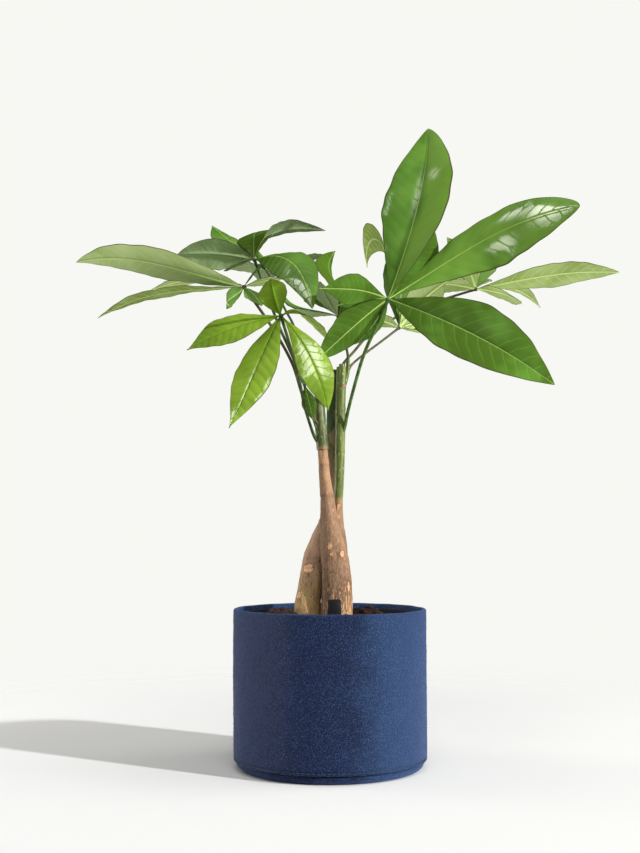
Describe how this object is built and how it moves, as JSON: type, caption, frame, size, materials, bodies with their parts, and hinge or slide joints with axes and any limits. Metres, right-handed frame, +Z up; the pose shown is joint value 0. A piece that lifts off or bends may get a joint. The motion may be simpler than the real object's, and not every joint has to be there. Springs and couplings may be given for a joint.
{
  "type": "potted money tree in a felt planter",
  "caption": "House plant with crossing woody trunks, green upper stems and large glossy hand-shaped leaves, standing in soil in a nursery pot inside a round soft felt planter.",
  "frame": {"origin": "centre of the planter's underside, on the floor it stands on", "axes": "+Z up, -Y towards the viewer of the picture's front side, +X to the viewer's right"},
  "size_m": [0.5307, 0.3474, 0.5953],
  "materials": {
    "felt": "matte mottled navy felt",
    "liner": "thin black plastic",
    "soil": "matte crumbly potting soil",
    "label": "black plastic",
    "bark": "rough bark",
    "green_stem": "satin green bark",
    "leaf": "glossy living leaf"
  },
  "bodies": {
    "root": {"felt_wall": "felt", "felt_base": "felt", "nursery_pot": "liner", "soil": "soil", "plant_label": "label", "trunk_left": "bark", "trunk_front": "bark", "trunk_back": "bark", "stem_right": "green_stem", "stem_left": "green_stem", "leaf_front_right": "leaf", "leaf_behind_right": "leaf", "leaf_far_right": "leaf", "leaf_far_left": "leaf", "leaf_upper_left": "leaf", "leaf_front_left": "leaf", "leaf_middle": "leaf", "leaf_back": "leaf", "leaf_young": "leaf"}
  },
  "joints": []
}
